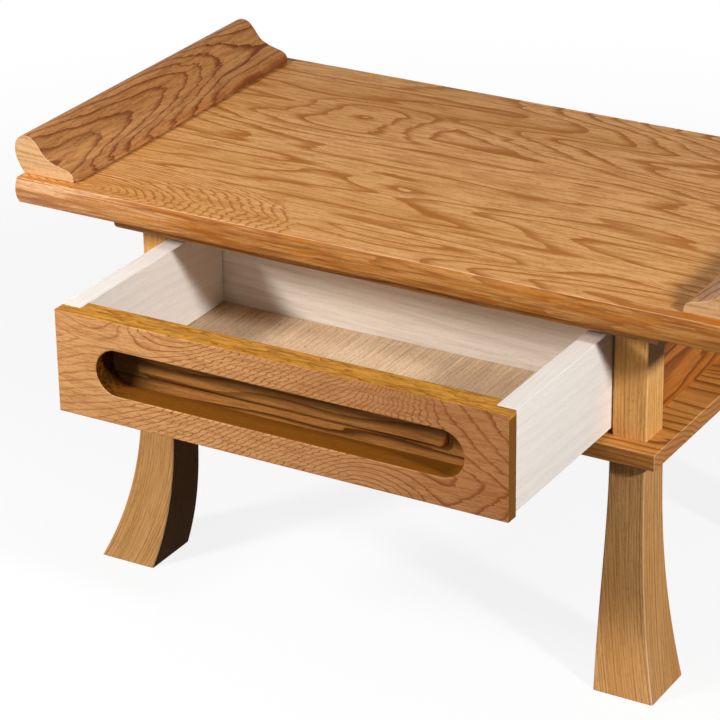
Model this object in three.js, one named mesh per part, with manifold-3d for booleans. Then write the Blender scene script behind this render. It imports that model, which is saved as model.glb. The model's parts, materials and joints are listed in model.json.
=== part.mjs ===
// Sutra desk: a low reading table with scroll ends, splayed legs and one drawer.
// Millimetres, X along the desk, Y from front to back, Z up from the floor.
// The drawer stands open, as it does when the desk is in use.

import * as THREE from 'three';
import { mergeVertices } from 'three/addons/utils/BufferGeometryUtils.js';
import Module from 'manifold-3d';

const wasm = await Module();
wasm.setup();

// Heights, from the floor up
const legHeight = 162.5;
const shelfThickness = 12;
const openingHeight = 77.5;
const upperBoardThickness = 15.5;
const topThickness = 18.5;

// Plan of the top board and of the drawer case under it
const topLength = 545;
const topDepth = 300;
const openingWidth = 340;
const caseDepth = 227;
const boardOverhangSide = 13;
const boardOverhangFront = 15;

// Moulded edge of the top board
const edgeBulge = 2;
const edgeFootOutset = 0.3;
const edgeCurveRise = 4.8;

// Eased arrises
const arris = 1;
const roundedArris = 3.5;

// Scroll ends
const scrollInset = 7.5;
const scrollSetIn = 0.5;
const scrollWidth = 41.5;
const scrollOverhang = 7.4;
const scrollHeight = 28.4;
const scrollNose = 3;

// Posts and panels of the case
const postSize = 25;
const panelThickness = 13;
const tongueLength = 3;
const tongueThickness = 5;
const tenonSize = 12;
const postTenonLength = 10;
const legTenonInPost = 16;
const tenonEndGap = 1;

// Legs
const legInsetSide = 10.5;
const legInsetFront = 8;
const legTopWidth = 26;
const legTopDepth = 29;
const legSweepSide = 22.5;
const legSweepFront = 26.5;
const legGrowth = 18;
const legLevels = 14;

// Drawer
const drawerSideGap = 1;
const drawerTopGap = 3;
const drawerFrontLift = 0.5;
const drawerSetback = 1.5;
const drawerPullOut = 145;
const drawerFrontThickness = 19.6;
const drawerSideThickness = 14.5;
const drawerBackThickness = 12;
const drawerBottomThickness = 4;
const drawerBottomRise = 3.7;
const rabbetDepth = 10;
const grooveDepth = 5;
const runnerHeight = 3.5;
const runnerRamp = 6;
const rideGap = 0.3;
const stopDepth = 5.2;
const stopHeight = 22;

// Finger slot in the drawer front, with the board behind it and the pull bar
const slotEndWood = 31.5;
const slotHeight = 32.4;
const slotArris = 1.2;
const slotEndFacets = 12;
const backingMargin = 8;
const backingThickness = 6;
const barEndGap = 21;
const barHeight = 22;
const barThickness = 3.6;
const barCorner = 6;

// Wood screws
const screwHeadRadius = 4;
const screwShankRadius = 2;
const screwHeadHeight = 2.4;
const screwTip = 5;
const screwRecess = 1.2;
const screwCrossReach = 2.2;
const screwCrossHalfWidth = 0.45;
const topScrewLength = 28;
const topScrewHeadDepth = 0.6;
const topScrewInset = 32;
const scrollScrewLength = 30;
const scrollScrewHeadDepth = 5;
const scrollScrewSpacing = 190;
const screwSides = 16;

// Play between pieces that are let into each other
const fit = 0.15;
// How far a cutting tool runs past a face
const overrun = 1;

// Levels
const shelfTop = legHeight + shelfThickness;
const upperUnderside = shelfTop + openingHeight;
const topUnderside = upperUnderside + upperBoardThickness;
const topSurface = topUnderside + topThickness;

// Plan positions worked out from the sizes above
const postInnerX = openingWidth / 2;
const postOuterX = postInnerX + postSize;
const postOuterY = caseDepth / 2;
const postInnerY = postOuterY - postSize;
const postCentreX = postOuterX - postSize / 2;
const postCentreY = postOuterY - postSize / 2;
const shelfLength = 2 * (postOuterX + boardOverhangSide);
const shelfDepth = 2 * (postOuterY + boardOverhangFront);
const scrollLength = topDepth - 2 * scrollInset;
const scrollOuterX = topLength / 2 - scrollSetIn;

// The drawer's place
const drawerWidth = openingWidth - 2 * drawerSideGap;
const drawerFrontBottom = shelfTop + drawerFrontLift;
const drawerTop = upperUnderside - drawerTopGap;
const drawerFrontHeight = drawerTop - drawerFrontBottom;
const drawerSideBottom = shelfTop + runnerHeight + rideGap;
const drawerFloor = drawerSideBottom + drawerBottomRise + drawerBottomThickness;
const drawerClosedY = -postOuterY + drawerSetback;
const drawerOpenY = drawerClosedY - drawerPullOut;
const stopFront = postInnerY - stopDepth;
const drawerLength = stopFront - rideGap - drawerClosedY;
const slotLength = drawerWidth - 2 * slotEndWood;
const slotCentre = drawerFrontBottom + drawerFrontHeight / 2;
const barLength = slotLength - 2 * barEndGap;

const woods = {
  top: { color: 0xc98a4b, roughness: 0.42 },
  scroll: { color: 0xb3713a, roughness: 0.42 },
  frame: { color: 0xc58c50, roughness: 0.45 },
  drawerFace: { color: 0xb9743f, roughness: 0.42 },
  pale: { color: 0xe6d9c8, roughness: 0.65 },
  drawerFloor: { color: 0xcdb08a, roughness: 0.6 },
  steel: { color: 0xb8b6b0, roughness: 0.35, metalness: 0.9 },
};

const desk = new THREE.Group();
const drawer = new THREE.Group();

// A named piece in the scene graph
function place(group, name, geometry, finish) {
  const material = new THREE.MeshStandardMaterial({ metalness: 0, ...finish });
  const mesh = new THREE.Mesh(geometry, material);
  mesh.name = name;
  group.add(mesh);
}

// A closed geometry as a solid that can be cut and joined
function solid(geometry) {
  const bare = geometry.clone();
  bare.deleteAttribute('normal');
  bare.deleteAttribute('uv');
  const merged = mergeVertices(bare, 1e-4);
  const triangles = [];
  for (let i = 0; i < merged.index.count; i += 3) {
    const [a, b, c] = merged.index.array.slice(i, i + 3);
    if (a !== b && b !== c && c !== a) triangles.push(a, b, c);
  }
  return new wasm.Manifold(new wasm.Mesh({
    numProp: 3,
    vertProperties: new Float32Array(merged.attributes.position.array),
    triVerts: new Uint32Array(triangles),
  }));
}

// A solid back as a geometry
function shaped(body) {
  const mesh = body.getMesh();
  const geometry = new THREE.BufferGeometry();
  geometry.setAttribute('position', new THREE.BufferAttribute(mesh.vertProperties, 3));
  geometry.setIndex(new THREE.BufferAttribute(mesh.triVerts, 1));
  const facets = geometry.toNonIndexed();
  facets.computeVertexNormals();
  return facets;
}

// A box given by its lowest and highest corner
function block(low, high) {
  const size = [0, 1, 2].map((axis) => high[axis] - low[axis]);
  const centre = [0, 1, 2].map((axis) => (high[axis] + low[axis]) / 2);
  return solid(new THREE.BoxGeometry(...size).translate(...centre));
}

// The box that spans two opposite corners on one side of the desk, side being -1 or 1
function sideBlock(side, near, far, low, high) {
  const xs = [side * near, side * far].sort((a, b) => a - b);
  return block([xs[0], low[0], low[1]], [xs[1], high[0], high[1]]);
}

// Rings of equal point counts, from the lowest to the highest, closed at both ends
function loft(rings) {
  const count = rings[0].length;
  const last = (rings.length - 1) * count;
  const triangles = [];
  for (let level = 0; level < rings.length - 1; level += 1) {
    for (let i = 0; i < count; i += 1) {
      const next = (i + 1) % count;
      const a = level * count + i;
      const b = level * count + next;
      triangles.push(a, b, b + count, a, b + count, a + count);
    }
  }
  for (let i = 1; i < count - 1; i += 1) {
    triangles.push(0, i + 1, i);
    triangles.push(last, last + i, last + i + 1);
  }
  const geometry = new THREE.BufferGeometry();
  geometry.setFromPoints(rings.flat());
  geometry.setIndex(triangles);
  return geometry;
}

// A rectangle with cut corners at one height, seen from above, turning left
function cutRectangle(x0, x1, y0, y1, cut, z) {
  const corners = [
    [x0 + cut, y0], [x1 - cut, y0], [x1, y0 + cut], [x1, y1 - cut],
    [x1 - cut, y1], [x0 + cut, y1], [x0, y1 - cut], [x0, y0 + cut],
  ];
  return corners.map(([x, y]) => new THREE.Vector3(x, y, z));
}

// A board whose four edges have one moulding, a list of [outset, height] points from the bottom
function mouldedBoard(length, depth, bottom, moulding) {
  return loft(moulding.map(([outset, height]) => cutRectangle(
    -length / 2 - outset,
    length / 2 + outset,
    -depth / 2 - outset,
    depth / 2 + outset,
    arris,
    bottom + height,
  )));
}

// An outline in the XZ plane carried from y to y + depth, with its end edges eased
function extrudeBack(outline, y, depth, ease, curveSegments = 10) {
  const geometry = new THREE.ExtrudeGeometry(outline, {
    depth: depth - 2 * ease,
    bevelEnabled: ease > 0,
    bevelSize: ease,
    bevelThickness: ease,
    bevelOffset: -ease,
    bevelSegments: 1,
    curveSegments,
  });
  return geometry.rotateX(Math.PI / 2).translate(0, y + depth - ease, 0);
}

// An outline in the XY plane carried up from one height to another
function extrudeUp(outline, bottom, top) {
  const geometry = new THREE.ExtrudeGeometry(outline, { depth: top - bottom, bevelEnabled: false });
  return geometry.translate(0, 0, bottom);
}

// A rectangle outline with its corners cut by a small amount
function rectangleShape(x0, x1, y0, y1, cut = 0) {
  const shape = new THREE.Shape();
  shape.setFromPoints(cutRectangle(x0, x1, y0, y1, cut, 0).map((p) => new THREE.Vector2(p.x, p.y)));
  return shape;
}

// A slot outline with round ends
function slotShape(length, height, centre) {
  const radius = height / 2;
  const reach = length / 2 - radius;
  const shape = new THREE.Shape();
  shape.absarc(reach, centre, radius, -Math.PI / 2, Math.PI / 2, false);
  shape.absarc(-reach, centre, radius, Math.PI / 2, 1.5 * Math.PI, false);
  shape.closePath();
  return shape;
}

// A square hole for a tenon, with play all round
function mortise(x, y, bottom, top) {
  const half = tenonSize / 2 + fit;
  return block([x - half, y - half, bottom], [x + half, y + half, top]);
}

function tenon(x, y, bottom, top) {
  const half = tenonSize / 2;
  return block([x - half, y - half, bottom], [x + half, y + half, top]);
}

// The four corners of the case as signs of X and Y, with their names
const corners = [
  { name: 'front_left', sx: -1, sy: -1 },
  { name: 'front_right', sx: 1, sy: -1 },
  { name: 'back_left', sx: -1, sy: 1 },
  { name: 'back_right', sx: 1, sy: 1 },
];

// Screws, each with its hole
function screwProfile(length, play) {
  const head = screwHeadRadius + play;
  const shank = screwShankRadius + play;
  return [
    new THREE.Vector2(0, -play),
    new THREE.Vector2(head, -play),
    new THREE.Vector2(shank, screwHeadHeight),
    new THREE.Vector2(shank, length - screwTip),
    new THREE.Vector2(0, length + play),
  ];
}

function screwBody(x, y, z, length, play) {
  const turned = new THREE.LatheGeometry(screwProfile(length, play), screwSides);
  return solid(turned.rotateX(Math.PI / 2).translate(x, y, z));
}

// A screw that points up, with a cross recess in its head
function screw(x, y, z, length) {
  const arm = screwCrossReach;
  const slot = screwCrossHalfWidth;
  const recessTop = z + screwRecess;
  const across = block([x - arm, y - slot, z - overrun], [x + arm, y + slot, recessTop]);
  const along = block([x - slot, y - arm, z - overrun], [x + slot, y + arm, recessTop]);
  return screwBody(x, y, z, length, 0).subtract(across.add(along));
}

// The hole a screw goes into, opened down to the face that its head is let into
function screwHole(x, y, z, length, face) {
  const access = new THREE.CylinderGeometry(
    screwHeadRadius + fit,
    screwHeadRadius + fit,
    z - face + overrun,
    screwSides,
  );
  access.rotateX(Math.PI / 2).translate(x, y, (z + face - overrun) / 2);
  return screwBody(x, y, z, length, fit).add(solid(access));
}

const topScrewZ = upperUnderside + topScrewHeadDepth;
const topScrews = corners.map(({ name, sx, sy }) => ({
  name: `top_screw_${name}`,
  x: sx * (postInnerX - topScrewInset),
  y: sy * (postInnerY - topScrewInset / 2),
}));

const scrollScrewZ = topUnderside + scrollScrewHeadDepth;
const scrollScrews = corners.map(({ name, sx, sy }) => ({
  name: `scroll_screw_${name}`,
  x: sx * (scrollOuterX - scrollWidth / 4),
  y: (sy * scrollScrewSpacing) / 2,
}));

// Top board, moulded on all four edges, with the screw holes in its underside.
// The moulding's points are shares of the bulge and of the board's thickness.
function topBoard() {
  const moulding = [
    [edgeFootOutset, 0],
    [edgeBulge * 0.6, edgeCurveRise / 2],
    [edgeBulge * 0.83, edgeCurveRise],
    [edgeBulge, topThickness * 0.5],
    [edgeBulge, topThickness * 0.66],
    [edgeBulge * 0.82, topThickness * 0.88],
    [edgeBulge * 0.62, topThickness - arris / 2],
    [edgeBulge * 0.62 - arris / 2, topThickness],
  ];
  let body = solid(mouldedBoard(topLength, topDepth, topUnderside, moulding));
  for (const { x, y } of topScrews) {
    body = body.subtract(screwHole(x, y, topScrewZ, topScrewLength, upperUnderside));
  }
  for (const { x, y } of scrollScrews) {
    body = body.subtract(screwHole(x, y, scrollScrewZ, scrollScrewLength, topUnderside));
  }
  return shaped(body);
}

// Profile of a scroll end in X and height: nose, long hollow slope, rolled head, tucked foot.
// It is drawn for the right end and mirrored by side.
function scrollShape(side) {
  const foot = scrollOuterX - scrollWidth;
  const at = (across, up) => [
    side * (foot + across * scrollWidth),
    topSurface + up * scrollHeight,
  ];
  const head = (scrollWidth + scrollOverhang) / scrollWidth;
  const nose = scrollNose / scrollHeight;
  const shape = new THREE.Shape();
  shape.moveTo(...at(0, 0));
  shape.lineTo(...at(0.008, nose));
  shape.bezierCurveTo(...at(0.015, nose + 0.12), ...at(0.08, 0.28), ...at(0.2, 0.315));
  shape.bezierCurveTo(...at(0.34, 0.37), ...at(0.5, 0.42), ...at(0.59, 0.56));
  shape.bezierCurveTo(...at(0.67, 0.69), ...at(0.73, 0.87), ...at(0.83, 0.955));
  shape.bezierCurveTo(...at(0.93, 1.03), ...at(1.08, 1), ...at(head - 0.03, 0.82));
  shape.bezierCurveTo(...at(head + 0.015, 0.7), ...at(head + 0.01, 0.52), ...at(head - 0.03, 0.36));
  shape.bezierCurveTo(...at(head - 0.07, 0.22), ...at(1.05, 0.1), ...at(1, 0));
  shape.closePath();
  return shape;
}

function scrollEnd(side) {
  let body = solid(extrudeBack(scrollShape(side), -scrollLength / 2, scrollLength, arris / 2, 7));
  for (const { x, y } of scrollScrews) {
    body = body.subtract(screwBody(x, y, scrollScrewZ, scrollScrewLength, fit));
  }
  return shaped(body);
}

// Board under the top that closes the case, with a rounded lower edge
function upperBoard() {
  const turns = 4;
  const moulding = [];
  for (let i = 0; i <= turns; i += 1) {
    const angle = (i / turns) * (Math.PI / 2);
    moulding.push([
      -roundedArris * (1 - Math.sin(angle)),
      roundedArris * (1 - Math.cos(angle)),
    ]);
  }
  moulding.push([0, upperBoardThickness]);
  let body = solid(mouldedBoard(shelfLength, shelfDepth, upperUnderside, moulding));
  for (const { sx, sy } of corners) {
    const top = upperUnderside + postTenonLength + tenonEndGap;
    body = body.subtract(mortise(sx * postCentreX, sy * postCentreY, upperUnderside - overrun, top));
  }
  for (const { x, y } of topScrews) {
    body = body.subtract(screwHole(x, y, topScrewZ, topScrewLength, upperUnderside));
  }
  return shaped(body);
}

// Shelf that the drawer stands on, with a through mortise over each leg
function shelfBoard() {
  const moulding = [
    [-arris, 0],
    [0, arris],
    [0, shelfThickness - arris],
    [-arris, shelfThickness],
  ];
  let body = solid(mouldedBoard(shelfLength, shelfDepth, legHeight, moulding));
  for (const { sx, sy } of corners) {
    const hole = mortise(sx * postCentreX, sy * postCentreY, legHeight - overrun, shelfTop + overrun);
    body = body.subtract(hole);
  }
  return shaped(body);
}

// Grooves in a post: one for the side panel, and one for the back panel in the back posts
function sideGroove(sx, sy) {
  const half = tongueThickness / 2 + fit;
  const centre = postInnerX + panelThickness / 2;
  const ys = [sy * (postInnerY - overrun), sy * (postInnerY + tongueLength + fit)].sort((a, b) => a - b);
  return sideBlock(sx, centre - half, centre + half, [ys[0], shelfTop - overrun], [ys[1], topUnderside]);
}

function backGroove(sx) {
  const half = tongueThickness / 2 + fit;
  const centre = postInnerY + panelThickness / 2;
  const deep = postInnerX + tongueLength + fit;
  return sideBlock(
    sx,
    postInnerX - overrun,
    deep,
    [centre - half, shelfTop - overrun],
    [centre + half, topUnderside],
  );
}

// A square post with eased arrises, a tenon on top and a mortise for the leg's tenon
function post({ sx, sy }) {
  const x = sx * postCentreX;
  const y = sy * postCentreY;
  const half = postSize / 2;
  const outline = rectangleShape(x - half, x + half, y - half, y + half, arris);
  const mortiseTop = shelfTop + legTenonInPost + tenonEndGap;
  let body = solid(extrudeUp(outline, shelfTop, upperUnderside));
  body = body.subtract(mortise(x, y, shelfTop - overrun, mortiseTop));
  body = body.subtract(sideGroove(sx, sy));
  if (sy > 0) body = body.subtract(backGroove(sx));
  body = body.add(tenon(x, y, upperUnderside - overrun, upperUnderside + postTenonLength));
  return shaped(body);
}

// A leg that sweeps out to the side and to the front while its section grows.
// Its outer faces follow a cube of the depth below the shelf, its size a square.
function leg({ sx, sy }) {
  const outerX = shelfLength / 2 - legInsetSide;
  const outerY = shelfDepth / 2 - legInsetFront;
  const rings = [];
  for (let level = 0; level <= legLevels; level += 1) {
    const z = (legHeight * level) / legLevels;
    const below = 1 - z / legHeight;
    const sweep = below ** 3;
    const growth = legGrowth * below ** 2;
    const x1 = outerX + legSweepSide * sweep;
    const y1 = outerY + legSweepFront * sweep;
    const xs = [sx * (x1 - legTopWidth - growth), sx * x1].sort((a, b) => a - b);
    const ys = [sy * (y1 - legTopDepth - growth), sy * y1].sort((a, b) => a - b);
    rings.push(cutRectangle(xs[0], xs[1], ys[0], ys[1], arris, z));
  }
  const tenonTop = shelfTop + legTenonInPost;
  const peg = tenon(sx * postCentreX, sy * postCentreY, legHeight - overrun, tenonTop);
  return shaped(solid(loft(rings)).add(peg));
}

// A panel of the case with a tongue on each end that enters the posts
function panelShape(reach, near, far) {
  const middle = (near + far) / 2;
  const half = (Math.sign(far - near) * tongueThickness) / 2;
  const tip = reach + tongueLength;
  return [
    [-reach, near], [reach, near], [reach, middle - half], [tip, middle - half],
    [tip, middle + half], [reach, middle + half], [reach, far], [-reach, far],
    [-reach, middle + half], [-tip, middle + half], [-tip, middle - half], [-reach, middle - half],
  ];
}

function sidePanel(side) {
  const outline = panelShape(postInnerY, side * postInnerX, side * (postInnerX + panelThickness));
  const shape = new THREE.Shape(outline.map(([along, across]) => new THREE.Vector2(across, along)));
  return extrudeUp(shape, shelfTop, upperUnderside);
}

function backPanel() {
  const outline = panelShape(postInnerX, postInnerY, postInnerY + panelThickness);
  const shape = new THREE.Shape(outline.map(([along, across]) => new THREE.Vector2(along, across)));
  return extrudeUp(shape, shelfTop, upperUnderside);
}

// Runner under one drawer side, ramped at its front end, behind the closed drawer front
function runner(side) {
  const front = drawerClosedY + drawerFrontThickness + rideGap;
  const outline = new THREE.Shape();
  outline.moveTo(front, 0);
  outline.lineTo(postInnerY, 0);
  outline.lineTo(postInnerY, runnerHeight);
  outline.lineTo(front + runnerRamp, runnerHeight);
  outline.lineTo(front, runnerHeight / 2);
  outline.closePath();
  const geometry = new THREE.ExtrudeGeometry(outline, {
    depth: drawerSideThickness,
    bevelEnabled: false,
  });
  const inner = side > 0 ? postInnerX - drawerSideThickness : -postInnerX;
  return geometry.rotateX(Math.PI / 2).rotateZ(Math.PI / 2).translate(inner, 0, shelfTop);
}

// Stop on the back panel that a drawer side meets when the drawer is shut
function drawerStop(side) {
  const near = postInnerX - drawerSideThickness;
  const outer = postInnerX - fit;
  const xs = [side * near, side * outer].sort((a, b) => a - b);
  const bottom = shelfTop + runnerHeight;
  const outline = rectangleShape(xs[0], xs[1], bottom, bottom + stopHeight, arris);
  return extrudeBack(outline, stopFront, stopDepth, 0);
}

// Drawer front: rabbets for the sides, groove for the bottom, and the finger slot
function drawerFront() {
  const half = drawerWidth / 2;
  const face = drawerOpenY;
  const back = face + drawerFrontThickness;
  const outline = rectangleShape(-half, half, drawerFrontBottom, drawerTop, arris / 2);
  let body = solid(extrudeBack(outline, face, drawerFrontThickness, arris / 2));
  body = body.subtract(slotCutter(face));
  for (const side of [-1, 1]) {
    body = body.subtract(sideBlock(
      side,
      half - drawerSideThickness - fit,
      half + overrun,
      [back - rabbetDepth, drawerFrontBottom - overrun],
      [back + overrun, drawerTop + overrun],
    ));
  }
  return shaped(body.subtract(bottomGroove(face, half, grooveDepth)));
}

// The slot, opened out at the face by an eased arris
function slotCutter(face) {
  const through = slotShape(slotLength, slotHeight, slotCentre);
  const wide = slotShape(slotLength + 2 * slotArris, slotHeight + 2 * slotArris, slotCentre);
  const tunnel = drawerFrontThickness + 2 * overrun;
  const straight = solid(extrudeBack(through, face - overrun, tunnel, 0, slotEndFacets));
  const ring = (shape, y) => shape.extractPoints(slotEndFacets).shape
    .slice(0, -1)
    .map((p) => new THREE.Vector3(p.x, y, p.y));
  const mouth = loft([ring(through, face + slotArris), ring(wide, face)]);
  return straight.add(solid(mouth));
}

// Groove for the drawer bottom in the back of the front and in both sides
function bottomGroove(face, half, depth) {
  const inner = half - drawerSideThickness;
  const reach = inner + depth + fit;
  const low = drawerFloor - drawerBottomThickness - fit;
  return block(
    [-reach, face + drawerFrontThickness - depth - fit, low],
    [reach, face + drawerLength + overrun, drawerFloor + fit],
  );
}

// Drawer side: let into the front, grooved for the bottom, housed for the back
function drawerSide(side) {
  const half = drawerWidth / 2;
  const start = drawerOpenY + drawerFrontThickness - rabbetDepth;
  const end = drawerOpenY + drawerLength;
  const xs = [side * (half - drawerSideThickness), side * half].sort((a, b) => a - b);
  const outline = rectangleShape(xs[0], xs[1], drawerSideBottom, drawerTop, arris / 2);
  let body = solid(extrudeBack(outline, start, end - start, 0));
  body = body.subtract(bottomGroove(drawerOpenY, half, grooveDepth));
  const inner = half - drawerSideThickness;
  const housing = sideBlock(
    side,
    inner - overrun,
    inner + grooveDepth + fit,
    [end - drawerBackThickness - fit, drawerFloor - overrun],
    [end + overrun, drawerTop + overrun],
  );
  return shaped(body.subtract(housing));
}

function drawerBack() {
  const reach = drawerWidth / 2 - drawerSideThickness + grooveDepth;
  const end = drawerOpenY + drawerLength;
  const outline = rectangleShape(-reach, reach, drawerFloor, drawerTop, arris / 2);
  return extrudeBack(outline, end - drawerBackThickness, drawerBackThickness, 0);
}

function drawerBottom() {
  const reach = drawerWidth / 2 - drawerSideThickness + grooveDepth;
  const front = drawerOpenY + drawerFrontThickness - grooveDepth;
  const end = drawerOpenY + drawerLength;
  const outline = rectangleShape(-reach, reach, front, end, 0);
  return extrudeUp(outline, drawerFloor - drawerBottomThickness, drawerFloor);
}

// Board that closes the slot from behind
function pullBacking() {
  const reach = slotLength / 2 + backingMargin;
  const rise = slotHeight / 2 + backingMargin;
  const outline = rectangleShape(-reach, reach, slotCentre - rise, slotCentre + rise, arris);
  return extrudeBack(outline, drawerOpenY + drawerFrontThickness, backingThickness, 0);
}

// Pull bar on the backing, at the top of the slot, with round lower corners and a soft face
function fingerBar() {
  const reach = barLength / 2;
  const top = slotCentre + slotHeight / 2 - rideGap;
  const bottom = top - barHeight;
  const outline = new THREE.Shape();
  outline.moveTo(-reach, top);
  outline.lineTo(-reach, bottom + barCorner);
  outline.quadraticCurveTo(-reach, bottom, -reach + barCorner, bottom);
  outline.lineTo(reach - barCorner, bottom);
  outline.quadraticCurveTo(reach, bottom, reach, bottom + barCorner);
  outline.lineTo(reach, top);
  outline.closePath();
  const back = drawerOpenY + drawerFrontThickness;
  return extrudeBack(outline, back - barThickness, barThickness, arris / 2);
}

place(desk, 'top_board', topBoard(), woods.top);
place(desk, 'scroll_end_left', scrollEnd(-1), woods.scroll);
place(desk, 'scroll_end_right', scrollEnd(1), woods.scroll);
place(desk, 'upper_board', upperBoard(), woods.frame);
place(desk, 'shelf_board', shelfBoard(), woods.frame);
for (const corner of corners) {
  place(desk, `post_${corner.name}`, post(corner), woods.frame);
  place(desk, `leg_${corner.name}`, leg(corner), woods.frame);
}
place(desk, 'side_panel_left', sidePanel(-1), woods.frame);
place(desk, 'side_panel_right', sidePanel(1), woods.frame);
place(desk, 'back_panel', backPanel(), woods.frame);
place(desk, 'drawer_runner_left', runner(-1), woods.pale);
place(desk, 'drawer_runner_right', runner(1), woods.pale);
place(desk, 'drawer_stop_left', drawerStop(-1), woods.pale);
place(desk, 'drawer_stop_right', drawerStop(1), woods.pale);
for (const { name, x, y } of topScrews) {
  place(desk, name, shaped(screw(x, y, topScrewZ, topScrewLength)), woods.steel);
}
for (const { name, x, y } of scrollScrews) {
  place(desk, name, shaped(screw(x, y, scrollScrewZ, scrollScrewLength)), woods.steel);
}

place(drawer, 'drawer_front', drawerFront(), woods.drawerFace);
place(drawer, 'drawer_side_left', drawerSide(-1), woods.pale);
place(drawer, 'drawer_side_right', drawerSide(1), woods.pale);
place(drawer, 'drawer_back', drawerBack(), woods.pale);
place(drawer, 'drawer_bottom', drawerBottom(), woods.drawerFloor);
place(drawer, 'pull_backing', pullBacking(), woods.drawerFace);
place(drawer, 'finger_bar', fingerBar(), woods.drawerFace);
desk.add(drawer);

// The frame's origin lies on the floor under the middle of the open desk
const backEdge = topDepth / 2 + edgeBulge;
desk.position.y = -(drawerOpenY + backEdge) / 2;

export default desk;
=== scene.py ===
# %% [markdown]
# # A sutra desk in lacquered wood
#
# This lesson dresses a small reading desk: a moulded top between two scroll ends, a case on four legs
# that sweep outwards, and one drawer with a long finger slot. The construction is already there as solids.
# Here each board gets its eased edges and its wood, and the desk gets a floor, lamps and a camera.
# Everything is in metres: X runs along the desk, Y from the drawer's face to the back, Z up.

import json
import math

import bmesh
import bpy
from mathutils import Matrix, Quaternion, Vector
from mathutils.geometry import interpolate_bezier

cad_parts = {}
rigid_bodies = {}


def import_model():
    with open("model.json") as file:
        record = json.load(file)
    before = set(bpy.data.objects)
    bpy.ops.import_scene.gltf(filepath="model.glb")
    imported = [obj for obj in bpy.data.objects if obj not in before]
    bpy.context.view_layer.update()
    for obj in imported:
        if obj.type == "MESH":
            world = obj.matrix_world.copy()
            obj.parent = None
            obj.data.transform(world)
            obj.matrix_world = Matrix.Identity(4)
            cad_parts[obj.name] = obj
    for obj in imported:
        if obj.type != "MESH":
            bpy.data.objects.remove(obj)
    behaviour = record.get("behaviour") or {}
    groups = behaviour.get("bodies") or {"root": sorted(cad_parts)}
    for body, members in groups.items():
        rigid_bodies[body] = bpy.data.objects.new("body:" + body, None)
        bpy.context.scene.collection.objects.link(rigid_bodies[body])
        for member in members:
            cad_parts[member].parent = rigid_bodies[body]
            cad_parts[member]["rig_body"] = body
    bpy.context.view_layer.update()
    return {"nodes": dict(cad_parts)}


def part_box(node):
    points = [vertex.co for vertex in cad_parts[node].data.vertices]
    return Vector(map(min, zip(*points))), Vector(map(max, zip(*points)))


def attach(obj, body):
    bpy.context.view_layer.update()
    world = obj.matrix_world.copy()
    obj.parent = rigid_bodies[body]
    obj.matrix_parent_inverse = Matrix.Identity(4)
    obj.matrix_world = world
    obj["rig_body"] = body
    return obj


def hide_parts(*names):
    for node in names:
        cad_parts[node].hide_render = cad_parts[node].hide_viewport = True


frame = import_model()
nodes = frame["nodes"]
scene = bpy.context.scene

# %% [markdown]
# ## Shader maths that reads like arithmetic
#
# A wood finish is a formula: rings that wander, fibres that push them, colours between them. Written node
# by node it is hard to read. So a small class wraps a node's output and lets plain operators add the Math
# nodes. `1 - mask` works too, because the reflected operators are there.

# %% Numbers that change over a surface


class Number:
    """A value that changes over a surface. Arithmetic on it adds Math nodes to its finish."""

    def __init__(self, finish, socket):
        self.finish = finish
        self.socket = socket

    def __add__(self, other):
        return self.finish.maths("ADD", self, other)

    def __radd__(self, other):
        return self.finish.maths("ADD", other, self)

    def __sub__(self, other):
        return self.finish.maths("SUBTRACT", self, other)

    def __rsub__(self, other):
        return self.finish.maths("SUBTRACT", other, self)

    def __mul__(self, other):
        return self.finish.maths("MULTIPLY", self, other)

    def __rmul__(self, other):
        return self.finish.maths("MULTIPLY", other, self)

    def __pow__(self, other):
        return self.finish.maths("POWER", self, other)


print("numbers add, subtract, multiply and take powers")

# %% [markdown]
# ## One method for every other node
#
# A finish is a material with one Principled shader. Its `node` method takes a node's type, then its
# settings, then the values or links of its sockets, so that every node in this file is made the same way.
# Colours and vectors pass through Mix and Vector Math, because a Math node would turn a colour grey.

# %% Colours


def linear(code):
    """A colour as the eye reads it, such as c8935c, in the scale that shaders use."""
    shares = [int(code[i:i + 2], 16) / 255 for i in (0, 2, 4)]
    return tuple(s / 12.92 if s <= 0.04045 else ((s + 0.055) / 1.055) ** 2.4 for s in shares) + (1,)


print(f"the grey 808080 is {linear('808080')[0]:.3f} to a shader")

# %% Finishes


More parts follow.
